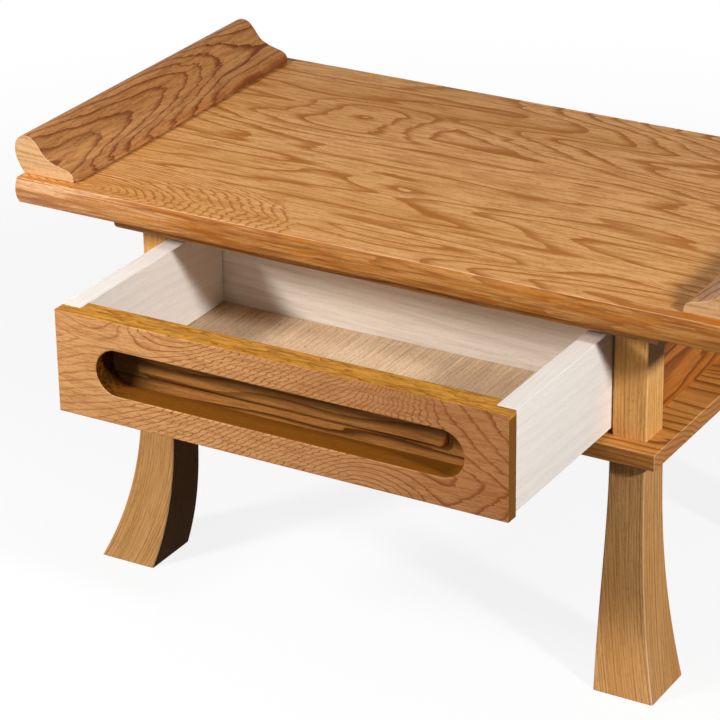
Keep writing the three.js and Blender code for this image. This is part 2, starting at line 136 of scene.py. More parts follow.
class Finish:
    """A material under construction, and the record's slot that it belongs to."""

    def __init__(self, name, slot, **constants):
        self.slot = slot
        self.material = bpy.data.materials.new(name)
        self.material.use_nodes = True
        self.tree = self.material.node_tree
        self.shader = self.tree.nodes["Principled BSDF"]
        for socket, value in constants.items():
            self.shader.inputs[socket.replace("_", " ")].default_value = value

    def node(self, kind, settings=None, sockets=None):
        """A node of that type, with its settings first and then its sockets."""
        made = self.tree.nodes.new(kind)
        for name, value in (settings or {}).items():
            if name == "stops":
                self.set_stops(made.color_ramp.elements, value)
            else:
                setattr(made, name, value)
        for name, value in (sockets or {}).items():
            self.feed(made.inputs[name], value)
        return made

    def set_stops(self, elements, stops):
        """Places the stops of a ramp, each with its shade of grey."""
        while len(elements) < len(stops):
            elements.new(1)
        for element, (place, shade) in zip(elements, stops):
            element.position = place
            element.color = (shade, shade, shade, 1)

    def feed(self, target, value):
        """Links a number or a socket to the target, or sets a plain value on it."""
        if isinstance(value, Number):
            value = value.socket
        if isinstance(value, bpy.types.NodeSocket):
            self.tree.links.new(value, target)
        else:
            target.default_value = value

    def number(self, kind, settings, sockets, output=0):
        return Number(self, self.node(kind, settings, sockets).outputs[output])

    def maths(self, operation, *values):
        return self.number("ShaderNodeMath", {"operation": operation}, dict(enumerate(values)))

    def vector(self, operation, *values):
        made = self.node("ShaderNodeVectorMath", {"operation": operation}, dict(enumerate(values)))
        return made.outputs["Vector"]

    def scaled(self, place, factor):
        made = self.node("ShaderNodeVectorMath", {"operation": "SCALE"}, {0: place, "Scale": factor})
        return made.outputs["Vector"]

    def dot(self, place, weights):
        sockets = {0: place, 1: weights}
        return self.number("ShaderNodeVectorMath", {"operation": "DOT_PRODUCT"}, sockets, "Value")

    def blend(self, share, first, second):
        """A colour between two others: the first where the share is 0, the second where it is 1."""
        settings = {"data_type": "RGBA", "clamp_factor": True}
        return self.node("ShaderNodeMix", settings, {0: share, 6: first, 7: second}).outputs[2]

    def noise(self, place, scales, detail=1.0, roughness=0.5):
        """A noise from 0 to 1 that changes so many times per metre along X, Y and Z."""
        sockets = {
            "Vector": self.vector("MULTIPLY", place, scales),
            "Scale": 1.0,
            "Detail": detail,
            "Roughness": roughness,
        }
        return self.number("ShaderNodeTexNoise", {}, sockets, "Fac")

    def ramp(self, value, stops):
        """A curve through the stops, each a place and a height."""
        settings = {"stops": stops}
        return self.number("ShaderNodeValToRGB", settings, {"Fac": value}, "Color")

    def step(self, value, low, high):
        """0 up to low, 1 from high on, and a soft slope between them."""
        sockets = {"Value": value, "From Min": low, "From Max": high}
        return self.number("ShaderNodeMapRange", {"interpolation_type": "SMOOTHSTEP"}, sockets)

    def shine(self, colour, roughness, height, depth):
        """Sends the results to the shader: colour, roughness and a bump of that depth in metres."""
        bump = {"Height": height, "Strength": 1.0, "Distance": depth}
        self.feed(self.shader.inputs["Base Color"], colour)
        self.feed(self.shader.inputs["Roughness"], roughness)
        self.feed(self.shader.inputs["Normal"], self.node("ShaderNodeBump", {}, bump).outputs["Normal"])


print("finishes can be mixed")

# %% [markdown]
# ## Wood
#
# A board is a cut through a tree. Its rings are layers that wander, pale in spring growth and dark in late
# growth, and the board's surface shows where it cuts them. A picture of wood wrapped round each board would
# be quicker, but its lines would break at every edge. So the wood here is solid: a count of rings at every
# point in space. It gives straight lines where a face crosses the layers, long flames where a face runs
# along them, and lines that go on round every corner. Each board keeps its own direction of grain.

# %% Grain, places and faces
ALONG = {"x": (1, 0, 0), "y": (0, 1, 0), "z": (0, 0, 1)}
SQUARE_ON = (0.6, 0.8)
OBLIQUE = (0.1, 0.26)
OFF_THE_SIDES = (0.12, 0.3)


def stretched(grain, along, across):
    """Scales for a pattern that is long with the grain and narrow across it, per metre."""
    return tuple(along if share else across for share in ALONG[grain])


def axes(wood, place):
    """The three coordinates of a place as numbers."""
    parts = wood.node("ShaderNodeSeparateXYZ", {}, {0: place}).outputs
    return [Number(wood, parts[name]) for name in "XYZ"]


def facing(wood):
    """The way a face looks, as three numbers from -1 to 1."""
    return axes(wood, wood.node("ShaderNodeTexCoord").outputs["Normal"])


def looking(wood, axis):
    """1 where a face looks along the axis, either way."""
    share = wood.maths("ABSOLUTE", facing(wood)["xyz".index(axis)])
    return wood.step(share, *SQUARE_ON)


def eased_edge(wood, curved):
    """1 on an eased edge, where the face turns between two sides of its board.

    A board with curved sides turns there too, so only the edges of its front and back count.
    """
    x, y, z = [wood.maths("ABSOLUTE", part) for part in facing(wood)]
    squarest = wood.maths("MAXIMUM", wood.maths("MAXIMUM", x, y), z)
    eased = wood.step(1 - squarest, *OBLIQUE)
    return eased * wood.step(y, *OFF_THE_SIDES) if curved else eased


print("grain can run along", ", ".join(ALONG))

# %% [markdown]
# ## Rings, teeth and fibres
#
# Three things draw a board. First the rings: the whole part of the count is the year, and its fraction is
# the growth within the year, which a ramp turns into a line that comes softly and ends sharply. Then the
# fibres push the rings back and forth with the grain, which gives the small teeth that real figure has.
# Last come the fibres and pores themselves, as fine streaks that darken the wood and also feed the bump.
# One noise texture could not do all three, because they differ in scale by a hundred times.

# %% Rings
TEETH_RUN = 16
LATE_GROWTH_ENDS = 0.965
YEARS_FADE = (9, 60)
FADE_BETWEEN = (-0.2, 0.55)


def pushed_by_fibres(wood, position, grain, reach, per_metre):
    """The place, pushed with the grain this way and that, by teeth of that reach in metres."""
    teeth = wood.noise(position, stretched(grain, TEETH_RUN, per_metre), detail=4, roughness=0.7)
    return wood.vector("ADD", position, wood.scaled(ALONG[grain], (teeth - 0.5) * reach))


def ring_count(wood, pushed, grain, rings, wave):
    """The rings that lie between a place and the middle of the desk, with layers that wander."""
    wander, with_grain, across_grain = wave
    layers = wood.noise(pushed, stretched(grain, with_grain, across_grain), detail=2, roughness=0.35)
    return wood.dot(pushed, rings) + (layers - 0.5) * wander


def late_growth(wood, count, share):
    """The dark part of each ring, as a share of it: it comes softly and ends sharply."""
    return wood.ramp(wood.maths("FRACT", count), [
        (0, 0),
        (1 - share, 0),
        (1 - 0.6 * share, 0.5),
        (1 - 0.35 * share, 0.95),
        (LATE_GROWTH_ENDS, 1),
        (1, 0),
    ])


def strength_of_years(wood, position, grain, count, vary):
    """How dark each year's late growth is, which also fades in and out along the board."""
    sockets = {"W": wood.maths("FLOOR", count)}
    year = wood.number("ShaderNodeTexWhiteNoise", {"noise_dimensions": "1D"}, sockets, "Value")
    fade = wood.noise(position, stretched(grain, *YEARS_FADE), detail=2)
    return (1 - year * vary) * wood.step(fade, *FADE_BETWEEN)


print(f"fibres push the rings {TEETH_RUN} times in a metre of grain")

# %% Fibres and marks
PORES = (260, 1300)
PORES_BETWEEN = (0.5, 0.72)
PORES_STRENGTH = 0.5
FIBRES_BETWEEN = (0.42, 0.62)
FIBRES_STRENGTH = 0.6
FEWER_ON_ENDS = 0.65


def marks(wood, place, scales, between, strength, detail=2, roughness=0.5):
    """Marks where a noise of these scales, per metre, rises between two values."""
    return wood.step(wood.noise(place, scales, detail, roughness), *between) * strength


def contours(wood, place, scales, rings, between, strength, detail=2, roughness=0.5):
    """Closed lines, as on a map, at each ring of a noise of these scales, per metre."""
    heights = wood.noise(place, scales, detail, roughness) * rings
    return wood.step(wood.maths("FRACT", heights), *between) * strength


def fibres_and_streaks(wood, position, grain, fineness, run):
    """The fibres, and the dark streaks that they and the pores leave, fewer on cut ends."""
    fibres = wood.noise(position, stretched(grain, fineness / run, fineness), detail=4, roughness=0.7)
    pores = marks(wood, position, stretched(grain, *PORES), PORES_BETWEEN, PORES_STRENGTH)
    streaks = wood.step(fibres, *FIBRES_BETWEEN) * FIBRES_STRENGTH + pores
    return fibres, streaks * (1 - looking(wood, grain) * FEWER_ON_ENDS)


print(f"pores are {PORES[1] / PORES[0]:.0f} times longer than wide")

# %% [markdown]
# ## One recipe for all boards
#
# The boards differ in tree, cut and colour, but each finish is drawn the same way, so one function takes
# what differs. The lacquer is satin, and its reflection is kept weak, because a pale studio mirrored in it
# would bleach the dark lines. On eased edges the lacquer is worn smoother, and the colour is painted paler
# there, partly as wear and partly as a painted highlight.

# %% A wood finish
SHEEN = 0.035
GRAIN_DEPTH = 0.00012
EDGE_WEAR_AND_HIGHLIGHT = 0.36
WEAR_AND_HIGHLIGHT_BETWEEN = (0.3, 0.5)
COLOUR_DRIFTS = (3, 22)
DRIFT_BETWEEN = (0.4, 0.75)
ROUGHER_FIBRES = 0.2
ROUGHER_LINES = 0.06
SMOOTHER_WEAR = 0.14
RAISED_LINES = 0.4


def drawing(line, teeth, fibre, roughness):
    """How a wood is drawn.

    line: share of a ring that is dark, darkness, and how much it varies from year to year
    teeth: their reach in metres, and how many there are across a metre
    fibre: contrast, fibres across a metre, and how many times longer than wide they are
    """
    return {"line": line, "teeth": teeth, "fibre": fibre, "roughness": roughness}


def timber(name, slot, grain, colours, rings, wave, look, curved=False, wear_and_highlight=EDGE_WEAR_AND_HIGHLIGHT, place=None,
           figure=None, faces=None):
    """A wood finish.

    colours: pale growth, dark growth, and the tone that drifts over the board
    rings: rings per metre along X, Y and Z
    wave: rings that the layers wander by, and how fast with the grain and across it, per metre
    look: a drawing
    curved: whether the board has curved sides, on which no edge is worn or painted with a highlight
    wear_and_highlight: how much paler eased edges are painted, as wear and as a painted highlight
    place: bends the place at which the wood is looked up
    figure: rings to add, for a figure of the board's own
    faces: tints the colour by the way a face looks
    """
    pale, dark, drift = (linear(code) for code in colours)
    share, darkness, vary = look["line"]
    contrast, fineness, run = look["fibre"]
    wood = Finish(name, slot, Specular_IOR_Level=SHEEN)
    position = wood.node("ShaderNodeTexCoord").outputs["Object"]
    if place is not None:
        position = place(wood, position)
    pushed = pushed_by_fibres(wood, position, grain, *look["teeth"])
    count = ring_count(wood, pushed, grain, rings, wave)
    if figure is not None:
        count = count + figure(wood, position, pushed)
    strength = strength_of_years(wood, position, grain, count, vary)
    line = late_growth(wood, count, share) * strength * darkness
    tone = wood.step(wood.noise(position, stretched(grain, *COLOUR_DRIFTS), detail=2), *DRIFT_BETWEEN)
    colour = wood.blend(line, wood.blend(tone, pale, drift), dark)
    if faces is not None:
        colour = faces(wood, colour, position)
    fibres, streaks = fibres_and_streaks(wood, position, grain, fineness, run)
    colour = wood.blend(streaks * contrast, colour, dark)
    # Eased edges are painted paler, partly as wear and partly as a painted highlight.
    worn_and_lit = eased_edge(wood, curved) * wood.step(fibres, *WEAR_AND_HIGHLIGHT_BETWEEN)
    colour = wood.blend(worn_and_lit * wear_and_highlight, colour, [(part + 1) / 2 for part in pale])
    gloss = look["roughness"] + (fibres - 0.5) * ROUGHER_FIBRES + line * ROUGHER_LINES
    wood.shine(colour, gloss - worn_and_lit * SMOOTHER_WEAR, line * RAISED_LINES - streaks, GRAIN_DEPTH)
    print(f"{name}: {len(wood.tree.nodes)} nodes")
    return wood


# %% [markdown]
# ## Wood of the top
#
# The top is cut round the log, so that its figure floats in islands. Wandering layers alone would put them
# anywhere. Here the close arches in the front left corner, an eye behind them and a dark one in the middle
# are ovals of extra rings, added to the count, and the fibres push them as they push all rings. On its
# edges the board shows the layers side on, as long streaks and lenses, so a tint takes over there.

# %% Figure of the top
ARCHES = {"centre": (-0.215, -0.088), "reach": (0.16, 0.055), "rings": 21}
EYE = {"centre": (-0.116, 0.118), "reach": (0.07, 0.036), "rings": 3.4}
DARK_EYE = {"centre": (-0.082, 0.003), "reach": (0.06, 0.018), "rings": -2.3}
PUSH_ON_ISLANDS = 0.35
CLOSER_BETWEEN = (-0.05, 0.2)
CLOSER_BEHIND = 0.04
CLOSER_RINGS = 34


def island(wood, place, centre, reach, rings):
    """Rings in an oval on the board, falling to none at its reach along X and along Y."""
    x, y = axes(wood, place)[:2]
    along = (x - centre[0]) * (1 / reach[0])
    across = (y - centre[1]) * (1 / reach[1])
    return wood.maths("MAXIMUM", 1 - (along * along + across * across) ** 0.5, 0) * rings


def top_figure(wood, position, pushed):
    """Three islands, and closer lines to the right."""
    x, y = axes(wood, position)[:2]
    still = wood.scaled(position, 1 - PUSH_ON_ISLANDS)
    between = wood.vector("ADD", still, wood.scaled(pushed, PUSH_ON_ISLANDS))
    arches, eye, dark_eye = (island(wood, between, **oval) for oval in (ARCHES, EYE, DARK_EYE))
    closer = (y - CLOSER_BEHIND) * wood.step(x, *CLOSER_BETWEEN) * CLOSER_RINGS
    return arches + eye + dark_eye + closer


print(f"the arches add {ARCHES['rings']} rings round {ARCHES['centre']}")

# %% Edges of the top
TOP_EDGE_LEFT, TOP_EDGE_RIGHT = linear("d3a67c"), linear("b98349")
TOP_STREAK_LEFT, TOP_STREAK_RIGHT = linear("8f542b"), linear("7a411c")
TOP_SMUDGE = linear("7d3c18")
BROWNER_BETWEEN = (-0.1, 0.02)
RAGGED_BY = 0.3


def top_edges(wood, colour, place):
    """Streaks, smudges and lenses on the edges, browner to the right."""
    ragged = axes(wood, place)[0] + wood.noise(place, (9, 30, 30), detail=2) * RAGGED_BY
    browner = wood.step(ragged, *BROWNER_BETWEEN)
    ground = wood.blend(browner, TOP_EDGE_LEFT, TOP_EDGE_RIGHT)
    dark = wood.blend(browner, TOP_STREAK_LEFT, TOP_STREAK_RIGHT)
    streaks = marks(wood, place, (14, 90, 380), (0.46, 0.58), strength=0.7, detail=5, roughness=0.75)
    smudges = marks(wood, place, (11, 60, 170), (0.55, 0.68), strength=0.6, detail=4, roughness=0.7)
    lenses = contours(wood, place, (5, 20, 60), rings=9, between=(0.5, 0.95), strength=0.5)
    side = wood.blend(streaks, ground, dark)
    side = wood.blend(smudges, side, TOP_SMUDGE)
    side = wood.blend(lenses, side, dark)
    return wood.blend(looking(wood, "z"), side, colour)


top_wood = timber(
    "top_wood", "top_wood", "x", ("e5aa6a", "a65e0e", "d2954f"),
    rings=(2, 14, 30), wave=(8.2, 4.0, 25),
    look=drawing((0.41, 1, 0.22), (0.06, 120), (0.8, 280, 10), 0.4),
    figure=top_figure, faces=top_edges,
)

# %% [markdown]
# ## Wood of the scroll ends
#
# The scroll ends are redder, with bold arches along their length. Arches come where a face runs nearly
# along the layers, so a square of the distance from the middle line of each scroll end is added to the
# count. Their sawn ends are pale and show the layers as thin stripes.

# %% Figure and ends of the scroll ends
SCROLL_MIDDLE = 0.252
SCROLL_ARCHING = 5200
SAWN_END, SAWN_LAYER = linear("cba172"), linear("a0703c")


def scroll_figure(wood, position, pushed):
    """Arches along the length of a scroll end."""
    across = wood.maths("ABSOLUTE", axes(wood, position)[0]) - SCROLL_MIDDLE
    return across * across * SCROLL_ARCHING


def scroll_ends(wood, colour, place):
    """Pale sawn ends with stripes."""
    layers = marks(wood, place, (16, 1, 420), (0.42, 0.64), strength=0.6)
    return wood.blend(looking(wood, "y"), colour, wood.blend(layers, SAWN_END, SAWN_LAYER))


scroll_wood = timber(
    "scroll_wood", "scroll_wood", "y", ("cc9156", "7c3e1f", "b37340"),
    rings=(0, 26, 30), wave=(8, 6, 14),
    look=drawing((0.37, 1, 0.25), (0.05, 90), (0.65, 330, 10), 0.4),
    curved=True, figure=scroll_figure, faces=scroll_ends,
)

# %% [markdown]
# ## Woods of the case
#
# The boards of the case are cut across the rings, so plain layers do for them: many rings per metre across
# the board, hardly any along it. They differ in colour and in the direction of their grain. The shelf's
# edges took more of the stain than its faces.

# %% Shelf, upper board and panels
BOARD = drawing((0.5, 1, 0.35), (0.03, 150), (0.5, 450, 12), 0.42)
CUT_ACROSS = {"rings": (3, 80, 250), "wave": (6, 6, 22), "look": BOARD}
EDGE_STAIN = linear("94592c")
EDGE_STAIN_STRENGTH = 0.6


def darker_edges(wood, colour, place):
    """Stain on the faces that don't look up or down."""
    stained = wood.blend(EDGE_STAIN_STRENGTH, colour, EDGE_STAIN)
    return wood.blend(looking(wood, "z"), stained, colour)


shelf_wood = timber(
    "shelf_wood", "frame_wood", "x", ("e0a052", "8f501f", "c68039"),
    **CUT_ACROSS, faces=darker_edges,
)
upper_wood = timber(
    "upper_wood", "frame_wood", "x", ("c98d50", "7d4c25", "b07a45"),
    **CUT_ACROSS,
)
panel_wood = timber(
    "panel_wood", "frame_wood", "y", ("ba7433", "6c3412", "98551d"),
    rings=(200, 5, 60), wave=(7, 6, 30), look=BOARD,
)

# %% [markdown]
# ## Woods of the drawer front
#
# The drawer front has slanting ripples in its middle and flames at both ends. Each of them is a slope added
# to the count: one that falls with the height slants the lines, and one that climbs away from a level, up
# and down, gives flames along it. Its face is painted lighter to the left and darker and redder to the
# right, a painted fall of the light from the front left. Its top edge and the inside of the slot are glazed
# in amber.
# The slot's left end gets painted shade, nearly black, also on the bar and the board inside it.

# %% Figure of the drawer front
LEFT_END, RIGHT_END = (-0.15, -0.06), (0.05, 0.13)
LEFT_FLAMES = {"level": 0.232, "rings": 190}
RIGHT_FLAMES = {"level": 0.198, "rings": 60}
SLANT_LEVEL = 0.212
SLANT_RINGS = 320
CLIMB_BETWEEN = (-0.14, 0.11)
CLIMB_RINGS = 22
RINGS_ALONG = 45


def flames(wood, height, where, level, rings):
    """Rings that climb up and down from a level, in one part of the board."""
    return wood.maths("ABSOLUTE", height - level) * where * rings


def front_figure(wood, position, pushed):
    """Slanting ripples in the middle of the drawer front, flames at its ends."""
    x, _, z = axes(wood, pushed)
    left = 1 - wood.step(x, *LEFT_END)
    right = wood.step(x, *RIGHT_END)
    slant = (z - SLANT_LEVEL) * (1 - left - right) * SLANT_RINGS
    climb = wood.step(x, *CLIMB_BETWEEN) * CLIMB_RINGS + x * RINGS_ALONG
    return climb - slant + flames(wood, z, left, **LEFT_FLAMES) + flames(wood, z, right, **RIGHT_FLAMES)


print(f"{CLIMB_RINGS} rings climb over the middle of the drawer front")

# %% Glaze and painted shade of the drawer front
FRONT_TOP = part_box("drawer_front")[1].z
UPPER_EDGE = (FRONT_TOP - 0.004, FRONT_TOP - 0.002)
# The slot's left end gets painted shade, nearly black.
SLOT_SHADE_BEGINS = (-0.16, -0.155)
SLOT_SHADE_FADES = (-0.138, -0.105)
SLOT_SHADE_STRENGTH = 0.85
AMBER, BROWN_AMBER, AMBER_LINE = linear("cc9038"), linear("70460f"), linear("7c4a10")
PAINTED_SHADE_BLACK = linear("160b03")


def glaze_and_slot_shade(wood, place):
    """Amber on the top edge, browner in the slot, painted shade, nearly black, in its left end, and fine
    loops.
    """
    x, _, z = axes(wood, place)
    upper = wood.step(z, *UPPER_EDGE)
    # painted shade at the slot's left end
    shaded_slot_end = wood.step(x, *SLOT_SHADE_BEGINS) * (1 - wood.step(x, *SLOT_SHADE_FADES))
    below = wood.blend(shaded_slot_end * SLOT_SHADE_STRENGTH, BROWN_AMBER, PAINTED_SHADE_BLACK)
    streaks = marks(wood, place, (60, 280, 220), (0.48, 0.6), strength=0.55, detail=5, roughness=0.8)
    loops = contours(
        wood, place, (13, 70, 70), rings=7, between=(0.72, 0.98), strength=0.75, detail=3, roughness=0.6,
    )
    drawn = wood.maths("MAXIMUM", streaks, loops)
    return wood.blend(drawn, wood.blend(upper, below, AMBER), AMBER_LINE)


print(f"the drawer front is glazed above {UPPER_EDGE[0]:.3f} m")

# %% Drawer front and pull
# The drawer front's face is painted lighter to the left and darker and redder to the right, for the light
# that falls off away from the front left.
PAINTED_LIGHT_BETWEEN, PAINTED_LIGHT_STRENGTH, PAINTED_LIGHT_LEFT = (-0.16, -0.05), 0.45, linear("cf9862")
REDDER_SHADE_BETWEEN, REDDER_SHADE_STRENGTH, REDDER_SHADE_RIGHT = (-0.1, 0.17), 0.44, linear("8d4f2d")
# Painted shade at the left end of the slot, on the bar and the board inside it.
SHADED_LEFT_BETWEEN, SHADED_LEFT_STRENGTH = (-0.126, -0.085), 0.8


def painted_falloff_and_glaze(wood, colour, place):
    """A face painted lighter to the left and darker and redder to the right, as the light falls off, and
    glaze on all else.
    """
    x = axes(wood, place)[0]
    # painted light to the left, and painted shade with a redder tone to the right
    colour = wood.blend((1 - wood.step(x, *PAINTED_LIGHT_BETWEEN)) * PAINTED_LIGHT_STRENGTH, colour, PAINTED_LIGHT_LEFT)
    colour = wood.blend(wood.step(x, *REDDER_SHADE_BETWEEN) * REDDER_SHADE_STRENGTH, colour, REDDER_SHADE_RIGHT)
    return wood.blend(looking(wood, "y"), glaze_and_slot_shade(wood, place), colour)


def shaded_left_end(wood, colour, place):
    """Painted shade, nearly black, at the left end of the slot, on the bar and the board inside it."""
    left = 1 - wood.step(axes(wood, place)[0], *SHADED_LEFT_BETWEEN)
    return wood.blend(left * SHADED_LEFT_STRENGTH, colour, PAINTED_SHADE_BLACK)


face_wood = timber(
    "drawer_face_wood", "drawer_face_wood", "x", ("d39c65", "86461c", "bd844c"),
    rings=(4, 40, 10), wave=(3, 9, 24),
    look=drawing((0.3, 1, 0.3), (0.012, 210), (0.6, 420, 10), 0.42),
    curved=True, wear_and_highlight=0.0, figure=front_figure, faces=painted_falloff_and_glaze,
)
pull_wood = timber(
    "pull_wood", "drawer_face_wood", "x", ("ae743b", "50290d", "8c5622"),
    rings=(3, 120, 120), wave=(6, 5, 34), look=BOARD, wear_and_highlight=0.0, faces=shaded_left_end,
)

# %% [markdown]
# ## Woods of the drawer box
#
# The box is a pale wood that is hardly lacquered, with lines that are barely there. The grain of the sides
# and of the bottom runs from front to back, and that of the back from left to right. The bottom is a thin
# sheet whose fibres are finer and much darker than the rest, so it reads as another wood.

# %% Sides, back and bottom of the drawer
pale_wood = timber(
    "pale_wood", "pale_wood", "y", ("ebe4dc", "bba892", "e6ddd3"),
    rings=(180, 10, 120), wave=(4, 5, 20),
    look=drawing((0.6, 0.1, 0.5), (0.01, 260), (0.14, 500, 20), 0.6),
)
pale_back_wood = timber(
    "pale_back_wood", "pale_wood", "x", ("e8dfd2", "b29a80", "e0d3c3"),
    rings=(10, 180, 120), wave=(4, 5, 20),
    look=drawing((0.6, 0.2, 0.5), (0.01, 260), (0.3, 450, 20), 0.6),
)
floor_wood = timber(
    "drawer_floor_wood", "drawer_floor_wood", "y", ("edd1ae", "7f5937", "e4c49d"),
    rings=(260, 6, 100), wave=(3, 5, 20),
    look=drawing((0.6, 0.1, 0.5), (0.01, 330), (0.6, 1000, 60), 0.55),
)

# %% [markdown]
# ## Woods of the legs and posts
#
# Legs are sawn so that their grain follows their sweep. The same law that bends a leg outwards, a cube of
# the depth below the shelf, bends the place at which the wood is looked up. That keeps one wood for all
# four legs, where a picture would have to be bent for each. The sides that they turn to the middle of the
# desk get painted shade, a darker brown, and the legs' lacquer is the dullest of all. Posts are the same
# straight wood, lighter and without the bend.

# %% The leg's sweep
LEG_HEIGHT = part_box("shelf_board")[0].z
LEG_SWEEP_SIDE = 0.0225
LEG_SWEEP_FRONT = 0.0265
DESK_CENTRE_Y = (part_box("top_board")[0].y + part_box("top_board")[1].y) / 2


def follow_sweep(wood, position):
    """The place in a leg as if the leg were straight."""
    x, y, z = axes(wood, position)
    below = wood.maths("MAXIMUM", 1 - z * (1 / LEG_HEIGHT), 0)
    sweep = below ** 3
    side = wood.maths("SIGN", x)
    front = wood.maths("SIGN", y - DESK_CENTRE_Y)
    straight_x = x - side * sweep * LEG_SWEEP_SIDE
    straight_y = y - front * sweep * LEG_SWEEP_FRONT
    sockets = {"X": straight_x, "Y": straight_y, "Z": z}
    return wood.node("ShaderNodeCombineXYZ", {}, sockets).outputs[0]


print(f"a leg sweeps {LEG_SWEEP_SIDE * 1000} mm sideways over {LEG_HEIGHT * 1000:.1f} mm")

# %% Legs, posts and screws
LEG_SHEEN = 0.01
# Painted shade for the sides of the legs that face the middle of the desk.
INNER_SIDE_SHADE = linear("5c2f10")
INNER_SIDE_SHADE_STRENGTH = 0.6
STRAIGHT = {
    "rings": (430, 350, 3),
    "wave": (9, 3, 30),
    "look": drawing((0.4, 0.55, 0.8), (0.03, 200), (0.45, 650, 18), 0.42),
}


def shaded_inner_sides(wood, colour, place):
    """Painted shade on the sides that a leg turns to the middle of the desk."""
    outwards = facing(wood)[0] * wood.maths("SIGN", axes(wood, place)[0])
    inner = wood.step(-1 * outwards, *SQUARE_ON)
    return wood.blend(inner * INNER_SIDE_SHADE_STRENGTH, colour, INNER_SIDE_SHADE)


leg_wood = timber(
    "leg_wood", "frame_wood", "z", ("cf9c62", "7b4823", "bf884d"),
    **STRAIGHT, place=follow_sweep, faces=shaded_inner_sides,
)
leg_wood.shader.inputs["Specular IOR Level"].default_value = LEG_SHEEN
post_wood = timber(
    "post_wood", "frame_wood", "z", ("ecb26b", "9f5f2c", "dfa65b"),
    **STRAIGHT,
)
screw_steel = Finish("screw_steel", "screw_steel", Metallic=1.0, Roughness=0.32)
print(f"{len(bpy.data.materials)} materials")

# %% [markdown]
# ## Shapes
#
# A joiner's board is a block whose sharp edges are eased with a plane. The light that runs along such an
# edge is what makes a board look solid, so each visible board is rebuilt with rounded edges. A bevel
# modifier would round every edge alike, but a joiner eases some and leaves others, so the edges are
# chosen one by one. Two helpers build the shapes: a block, and rings of points stacked into a skin.

# %% Blocks and stacks
HAIR = 1e-5


def block(low, high):
    """A box between two corners."""
    shape = bmesh.new()
    bmesh.ops.create_cube(shape, size=1)
    for corner in shape.verts:
        corner.co = [low[i] + (corner.co[i] + 0.5) * (high[i] - low[i]) for i in range(3)]
    return shape


def stack(rings):
    """A closed skin over rings of equally many points, with a flat face at each end."""
    shape = bmesh.new()
    loops = [[shape.verts.new(point) for point in ring] for ring in rings]
    for lower, upper in zip(loops, loops[1:]):
        for i in range(len(lower)):
            j = (i + 1) % len(lower)
            shape.faces.new((lower[i], lower[j], upper[j], upper[i]))
    shape.faces.new(loops[0])
    shape.faces.new(loops[-1])
    bmesh.ops.recalc_face_normals(shape, faces=shape.faces)
    return shape


def lies_at(edge, axis, level):
    """Whether a whole edge lies at one level along an axis, 0 for X, 1 for Y or 2 for Z."""
    return all(abs(corner.co[axis] - level) < HAIR for corner in edge.verts)


print(f"edges count as level within {HAIR * 1000} mm")

# %% Easing
SHARP_TURN = math.radians(28)
CRISP_TURN = math.radians(35)


def ease(shape, width, segments=3, chosen=None):
    """Rounds the outward edges of a shape, or those of them that chosen picks."""
    edges = [
        edge for edge in shape.edges
        if edge.is_manifold
        and edge.is_convex
        and edge.calc_face_angle() > SHARP_TURN
        and (chosen is None or chosen(edge))
    ]
    bmesh.ops.bevel(
        shape,
        geom=edges,
        offset=width,
        offset_type="OFFSET",
        segments=segments,
        profile=0.5,
        affect="EDGES",
        clamp_overlap=True,
    )
    return shape


def keep_crisp(shape):
    """Marks the edges that stay sharp in the shading."""
    for edge in shape.edges:
        edge.smooth = edge.is_manifold and edge.calc_face_angle() < CRISP_TURN


print(f"edges that turn more than {math.degrees(SHARP_TURN):.0f} degrees can be eased")

# %% [markdown]
# A slot or a groove is cut by a second shape. The cut needs both as objects for a moment, so a helper
# makes them, cuts, and takes them away again.

# %% Cutting


def as_object(name, shape):
    """Puts a shape into the scene as an object."""
    mesh = bpy.data.meshes.new(name)
    shape.to_mesh(mesh)
    shape.free()
    made = bpy.data.objects.new(name, mesh)
    scene.collection.objects.link(made)
    return made


def carve(shape, cutter):
    """Cuts one closed shape out of another."""
    body = as_object("body", shape)
    tool = as_object("tool", cutter)
    cut = body.modifiers.new("cut", "BOOLEAN")
    cut.object = tool
    cut.operation = "DIFFERENCE"
    cut.solver = "EXACT"
    bpy.context.view_layer.update()
    carved = body.evaluated_get(bpy.context.evaluated_depsgraph_get())
    result = bmesh.new()
    result.from_mesh(carved.to_mesh())
    carved.to_mesh_clear()
    for helper in (body, tool):
        mesh = helper.data
        bpy.data.objects.remove(helper)
        bpy.data.meshes.remove(mesh)
    return result


print("shapes can be cut")

# %% [markdown]
# A rebuilt piece takes the place of its solid and rides on the same body, so it moves as the solid did.
# Flat faces stay flat in the shading because the normals are weighted by area. A solid whose shape is
# right already only gets its finish.

# %% Pieces


def stand_for(node, shape, finish):
    """Makes the shape a piece that stands for its solid and rides on the same body."""
    keep_crisp(shape)
    piece = as_object(node + "_dressed", shape)
    piece.data.materials.append(finish.material)
    piece.data.polygons.foreach_set("use_smooth", [True] * len(piece.data.polygons))
    even = piece.modifiers.new("even_shading", "WEIGHTED_NORMAL")
    even.keep_sharp = True
    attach(piece, nodes[node]["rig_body"])
    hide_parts(node)
    print(f"{piece.name}: {len(piece.data.polygons)} faces")


def coat(node, finish):
    """Gives a solid whose shape is right its finish."""
    solid = nodes[node]
    for place in solid.material_slots:
        place.material = finish.material
    print(f"{node}: {finish.material.name}")


# %% [markdown]
# ## The top
#
# The top board is planed to a soft bulge on all four edges and bevelled inwards below it, with a crisp
# line left where the face ends. That moulding is one curve, so each of its points becomes a ring round
# the board, and the rings are stacked.

# %% Rings round a board
CORNER_STEPS = 4


